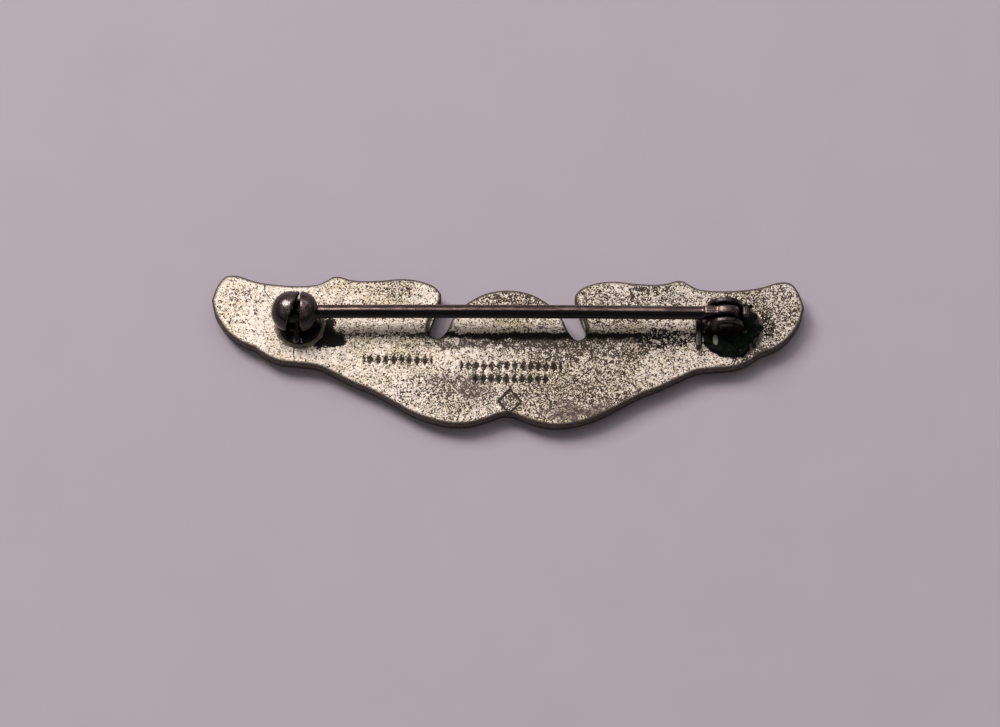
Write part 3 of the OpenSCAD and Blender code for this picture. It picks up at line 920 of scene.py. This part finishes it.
def build_hinge():
    """The hinge's skin, and its rivet: a turned shank with a low domed head at each end."""
    s = bpy.context.scene.wings_hinge
    tint = bpy.context.scene.wings_finish
    out = s.ear_in + s.ear_t
    metal = dark_metal("hinge_metal", tint.dark_metal, 0.32)
    points, faces = skin(hinge_field, (s.bar_x - s.bar_t - ROOM, -out - s.bar_out - ROOM, -ROOM),
                         (s.stop_x + s.stop_t + ROOM, out + ROOM, s.ear_h + ROOM), 0.05)
    make_piece("hinge", from_hinge(points), faces, metal, "badge", ["joint_base"])
    arc = np.linspace(0, np.pi / 2, 12)
    head = np.stack([s.head_r * np.cos(arc), out + s.head_t * np.sin(arc)], axis=-1)
    shank_r = 0.4
    profile = np.vstack([head[::-1], [(shank_r, out), (shank_r, -out)], head * (1, -1)])
    around, faces = turned(profile, 48)
    swapped = np.stack([around[..., 0], around[..., 2], around[..., 1] + RIVET_H], axis=-1)
    make_piece("rivet", from_hinge(swapped), faces, metal, "badge", ["joint_rivet"])


def patch_profile(radius):
    """Profile of a round patch: flat underneath, with a rounded rim and a slightly domed top."""
    arc = np.linspace(-np.pi / 2, np.pi / 2, 14)
    round_r = 0.1
    rim = np.stack([radius - round_r + round_r * np.cos(arc),
                    PATCH_T / 2 + (PATCH_T / 2) * np.sin(arc)], axis=-1)
    return np.vstack([[(0, 0)], rim, [(radius * 0.5, PATCH_T), (0, PATCH_T)]])


def solder_profile(radius, width, height):
    """Profile of a solder fillet: hollow, and thin at its outer edge."""
    t = np.linspace(0, 1, 10)
    slope = np.stack([radius + width * t, height * (1 - t) ** 2], axis=-1)
    return np.vstack([[(radius - 0.06, 0), (radius - 0.06, height)], slope])


def build_patch(name, node, solder_name, solder_node, seed):
    """A round patch and the uneven solder fillet round it."""
    tint = bpy.context.scene.wings_finish
    low, high = box_mm(node)
    radius = (high - low)[0] / 2
    place = np.array([*(low + high)[:2] / 2, BACK_Z])
    points, faces = turned(patch_profile(radius))
    # The patches are painted dark: under the catch's ball this is painted shade, at the hinge it goes
    # with the dark corrosion round it.
    metal = dark_metal(name, dim(tint.dark_metal, 0.3), 0.5)
    make_piece(name, points + place, faces, metal, "badge", [node])
    points, faces = turned(solder_profile(radius, width=0.33, height=0.2), 140)
    uneven = 1 + 0.22 * ripple(points[..., :2], 1.3, seed)
    beyond = np.maximum(np.hypot(points[..., 0], points[..., 1]) - radius, 0)
    points[..., :2] *= 1 + (beyond * (np.minimum(uneven, 1.03) - 1) / radius)[..., None]
    points[..., 2] *= np.clip(uneven, 0.5, 1.08)
    make_piece(solder_name, points + place, faces, solder_finish(), "badge", [solder_node])


def crust_field(p):
    """Corrosion that has crept over the patch and the plate: two flat discs and a few lumps, each with
    its centre, radius and half height, that run together, roughened by ripples, and standing on the
    back."""
    lumps = [((0.6, -0.9, 0.12), 1.9, 0.42), ((1.5, -0.2, 0.12), 1.35, 0.5),
             ((0.5, -2.0, 0.05), 0.95, 0.36), ((0.3, 0.4, 0.1), 1.7, 0.34),
             ((1.7, -1.5, 0.05), 0.9, 0.36), ((1.6, 0.9, 0.1), 0.9, 0.34),
             ((2.95, -0.5, 0.0), 0.42, 0.3), ((2.75, -1.0, 0.0), 0.3, 0.25),
             ((-0.75, -1.9, 0.1), 0.28, 0.34), ((-0.72, -1.5, 0.1), 0.22, 0.3)]
    solid = join(rod(p, 2, (0.12, -0.62, 0), 2.3, -0.3, PATCH_T + 0.14, 0.15),
                 rod(p, 2, (0.42, -0.76, 0), 2.42, -0.3, 0.3, 0.12), 0.1)
    for centre, radius, flat in lumps:
        squeezed = (p - np.array(centre)) * (1, 1, radius / flat)
        solid = join(solid, ball(squeezed, (0, 0, 0), radius) * (flat / radius), 0.2)
    solid = solid + 0.06 * ripple(p, 0.9, 21) + 0.025 * ripple(p, 0.4, 22)
    return np.maximum(solid, -(p[..., 2] + 0.02))


def build_crust():
    """Green corrosion round the foot of the hinge, paler along its rim and in a few dry lumps."""
    points, faces = skin(crust_field, (-1.8, -4.0, -0.1), (4.0, 2.3, 1.0), 0.06)
    away = np.linalg.norm((points - (-0.78, -1.75, 0.2)) / (0.3, 0.6, 0.6), axis=-1)
    pale = (1 - smooth_step(away, 0.5, 1.3)) + 0.1 * ripple(points, 0.6, 23) - 0.1
    make_piece("green_crust", from_hinge(points), faces, crust_finish(), "badge",
                      attributes={"pale": pale})


# ---------------- the catch

def catch_field(p):
    """The catch: two round petals on a neck, parted by a leaning gap, with a pocket for the collar, a
    bore for the pin and a mouth that opens towards the badge's top edge."""
    s = bpy.context.scene.wings_catch
    x, y, z = p[..., 0], p[..., 1], p[..., 2]
    low_z = PATCH_T - PIN_H
    petals = np.minimum(*(ball(p, (side * s.petal_out, 0, 0), s.petal_r) for side in (-1, 1)))
    left = s.lever_x - s.gap_w / 2 + y * math.tan(s.gap_lean)
    right = s.lever_x + s.gap_w / 2
    left = np.minimum(left, right + 0.12)
    neck_top = -1.17  # the gap ends there
    gap = np.maximum(np.maximum((left - x) * math.cos(s.gap_lean), x - right), neck_top - z)
    petals = cut(petals, gap, 0.3)
    neck = rod(p, 2, (0, 0, 0), s.neck_r, low_z, neck_top, 0.08)
    solid = join(petals, neck, 0.3)
    play = 0.05
    half = s.collar_len / 2 + play
    pocket = rod(p, 0, (0, 0, 0), s.collar_r + play, s.lever_x - half, s.lever_x + half)
    solid = cut(solid, pocket, 0.06)
    back_x = -1.475  # the blind end of the bore
    bore = rod(p, 0, (0, 0, 0), s.bore_r, back_x, 4)
    mouth = block(p, (back_x, 0, -s.bore_r), (4, 4, s.bore_r))
    solid = cut(solid, np.minimum(bore, mouth), 0.12)
    return np.maximum(solid, low_z - z)


def turn_x(p, angle):
    """Points turned back about the X axis by the angle."""
    c, s = math.cos(angle), math.sin(angle)
    return np.stack([p[..., 0], p[..., 1] * c + p[..., 2] * s, p[..., 2] * c - p[..., 1] * s], axis=-1)


def collar_field(p):
    """The collar: a short tube with a slot along it and a flat lever with a round end."""
    s = bpy.context.scene.wings_catch
    half = s.collar_len / 2
    solid = rod(p, 0, (0, 0, 0), s.collar_r, s.lever_x - half, s.lever_x + half, 0.06)
    q = turn_x(p, s.lever_dip)
    x0, x1 = s.lever_x - s.lever_t / 2, s.lever_x + s.lever_t / 2
    end = -s.lever_reach + s.lever_w / 2
    lever = np.minimum(block(q, (x0, end, -s.lever_w / 2), (x1, 0, s.lever_w / 2), 0.1),
                       rod(q, 0, (0, end, 0), s.lever_w / 2, x0, x1, 0.1))
    solid = join(solid, lever, 0.08)
    solid = cut(solid, rod(p, 0, (0, 0, 0), s.collar_bore, -4, 4), 0.05)
    q = turn_x(p, s.lever_turn)
    return cut(solid, block(q, (-4, 0, -s.collar_bore), (4, 4, s.collar_bore)), 0.05)


def build_catch():
    """The skins of the catch's petals and neck, and of its collar with the lever."""
    s = bpy.context.scene.wings_catch
    tint = bpy.context.scene.wings_finish
    wide = s.petal_r + s.petal_out + ROOM
    points, faces = skin(catch_field, (-wide, -s.petal_r - ROOM, PATCH_T - PIN_H - ROOM),
                         (wide, s.petal_r + ROOM, s.petal_r + ROOM), 0.05)
    # Painted highlight and shade: the petals' tops, where the highlight falls, take a brightened colour;
    # the rest is painted near black.
    metal = dark_metal("catch_metal", dim(tint.dark_metal, 3.6), 0.16, worn=True)
    worn = 0.04 + 0.96 * smooth_step(points[..., 2] / s.petal_r, 0.66, 0.92)
    make_piece("ball_catch", from_catch(points), faces, metal, "badge", ["catch_housing"],
               {"worn": worn})
    reach = s.lever_reach + ROOM
    points, faces = skin(collar_field, (-1.0, -reach, -1.6), (1.2, 1.2, 1.2), 0.045)
    # Painted shade: the collar, down between the petals, is painted nearly black.
    collar_shade_metal = dark_metal("collar_metal", dim(tint.dark_metal, 0.16), 0.6)
    make_piece("collar", from_catch(points), faces, collar_shade_metal, "collar", ["catch_rotator"])


# ---------------- the stage

def build_floor():
    """A wide flat floor under the badge."""
    side = 2.0
    mesh = bpy.data.meshes.new("floor")
    corners = [(-side, -side, 0), (side, -side, 0), (side, side, 0), (-side, side, 0)]
    mesh.from_pydata(corners, [], [(0, 1, 2, 3)])
    mesh.materials.append(floor_finish())
    floor = new_object("floor", mesh)


def add_light(name, power, colour, size, towards, distance):
    """A rectangular light that faces the badge from a direction and a distance in metres."""
    light = bpy.data.lights.new(name, "AREA")
    light.shape = "RECTANGLE"
    light.size, light.size_y = size
    light.energy = power
    light.color = colour
    away = towards.normalized()
    lamp = new_object(name, light)
    lamp.matrix_world = Matrix.LocRotScale(away * distance, away.to_track_quat("Z", "Y"), None)


def build_lights():
    """A key light high on the left behind the badge, a narrow softbox and a wide fill light nearer the
    middle, and even light from the room."""
    s = bpy.context.scene.wings_stage
    world = bpy.data.worlds.new("room")
    world.use_nodes = True
    background = world.node_tree.nodes["Background"]
    background.inputs["Color"].default_value = (0.96, 0.97, 1.0, 1.0)
    background.inputs["Strength"].default_value = s.room
    bpy.context.scene.world = world
    bpy.context.scene.view_settings.view_transform = "Standard"
    add_light("key", s.key, (1.0, 0.985, 0.965), (0.3, 0.42), Vector((-0.65, 0.6, 1.0)), 0.8)
    add_light("strip", s.strip, (1.0, 0.97, 0.95), (0.09, 0.34), Vector((-0.12, 0.42, 1.0)), 0.8)
    add_light("fill", s.fill, (0.96, 0.97, 1.0), (0.9, 0.9), Vector((0.2, 0.5, 1.0)), 1.0)


def build_camera():
    """The camera looks down at the back from the side of the lower edge."""
    s = bpy.context.scene.wings_stage
    lens = bpy.data.cameras.new("camera")
    lens.lens = s.lens
    lens.sensor_width = 36
    lens.clip_start, lens.clip_end = 0.01, 10
    camera = new_object("camera", lens)
    aim = Vector((-0.62, -1.18, BACK_Z)) * MM
    away = Vector((0, -math.cos(s.elevation), math.sin(s.elevation)))
    turn = away.to_track_quat("Z", "Y").to_matrix() @ Matrix.Rotation(s.roll, 3, "Z")
    camera.matrix_world = Matrix.LocRotScale(aim + away * s.distance, turn.to_quaternion(), None)
    bpy.context.scene.camera = camera


# ---------------- operators, panel and registration

class BuildPlate(bpy.types.Operator):
    """Build the struck silver plate"""
    bl_idname = "wings.build_plate"
    bl_label = "Struck Plate"

    def execute(self, context):
        build_plate()
        return {"FINISHED"}


class BuildPin(bpy.types.Operator):
    """Build the pin with its point, tongue and eye"""
    bl_idname = "wings.build_pin"
    bl_label = "Pin"

    def execute(self, context):
        build_pin()
        return {"FINISHED"}


class BuildHinge(bpy.types.Operator):
    """Build the hinge, its rivet, patch, solder and corrosion"""
    bl_idname = "wings.build_hinge"
    bl_label = "Hinge"

    def execute(self, context):
        build_hinge()
        build_patch("hinge_patch", "joint_patch", "hinge_solder", "joint_solder", 31)
        build_crust()
        return {"FINISHED"}


class BuildCatch(bpy.types.Operator):
    """Build the ball catch, its collar, patch and solder"""
    bl_idname = "wings.build_catch"
    bl_label = "Catch"

    def execute(self, context):
        build_catch()
        build_patch("ball_patch", "catch_patch", "ball_solder", "catch_solder", 32)
        return {"FINISHED"}


class BuildStage(bpy.types.Operator):
    """Build the floor, the lights and the camera"""
    bl_idname = "wings.build_stage"
    bl_label = "Stage"

    def execute(self, context):
        build_floor()
        build_lights()
        build_camera()
        return {"FINISHED"}


OPERATORS = [BuildPlate, BuildPin, BuildHinge, BuildCatch, BuildStage]


class WingsPanel(bpy.types.Panel):
    """Sizes, colours and builders of the wings pin"""
    bl_idname = "VIEW3D_PT_wings_pin"
    bl_label = "Wings Pin"
    bl_space_type = "VIEW_3D"
    bl_region_type = "UI"
    bl_category = "Wings Pin"

    def draw(self, context):
        for kind in OPERATORS:
            self.layout.operator(kind.bl_idname)
        for key, group in SETTINGS.items():
            column = self.layout.column(heading=group.__doc__)
            for name in group.__annotations__:
                column.prop(getattr(context.scene, key), name)


def register():
    for kind in (*SETTINGS.values(), *OPERATORS, WingsPanel):
        bpy.utils.register_class(kind)
    for key, group in SETTINGS.items():
        setattr(bpy.types.Scene, key, bpy.props.PointerProperty(type=group))


def unregister():
    for key in SETTINGS:
        delattr(bpy.types.Scene, key)
    for kind in (WingsPanel, *OPERATORS[::-1], *list(SETTINGS.values())[::-1]):
        bpy.utils.unregister_class(kind)


def main():
    """Registers the classes, builds every piece and writes the two boxes."""
    register()
    bpy.ops.wings.build_stage()
    bpy.ops.wings.build_plate()
    bpy.ops.wings.build_pin()
    bpy.ops.wings.build_hinge()
    bpy.ops.wings.build_catch()


if __name__ == "__main__":
    main()
